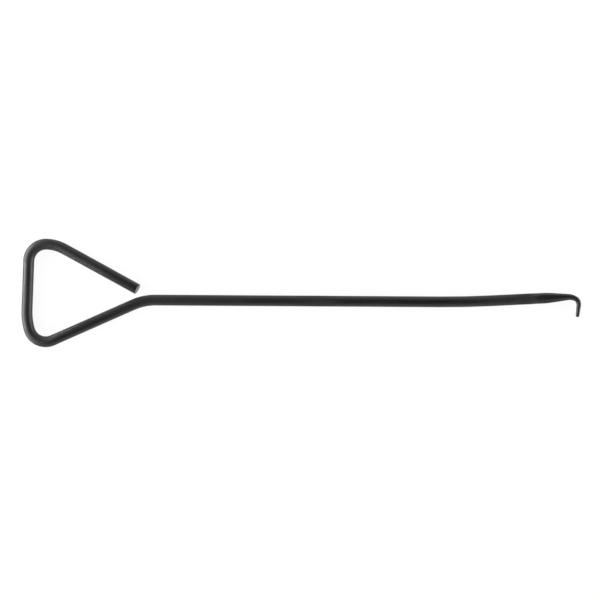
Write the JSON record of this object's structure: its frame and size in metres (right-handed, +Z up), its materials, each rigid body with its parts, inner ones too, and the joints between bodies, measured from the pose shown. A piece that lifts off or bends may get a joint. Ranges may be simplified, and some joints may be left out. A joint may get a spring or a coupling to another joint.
{
  "type": "brake spring hook",
  "caption": "Long round-bar pull hook for brake springs: an open triangular handle, a straight shaft and a slim drawn-down tip turned into a small hook, finished black.",
  "frame": {"origin": "under the middle of the tool's plan box, on the surface that it lies on", "axes": "+X along the shaft from the handle to the hook, +Y towards the handle's free leg and away from the hook's point, +Z up, square to the flat that the bar is bent in"},
  "size_m": [0.3093, 0.06, 0.0061],
  "materials": {
    "blackened_steel": "drawn steel bar with a thin satin black coating, a little duller where the tip was forged"
  },
  "bodies": {
    "root": {"brake_spring_hook": "blackened_steel"}
  },
  "joints": []
}
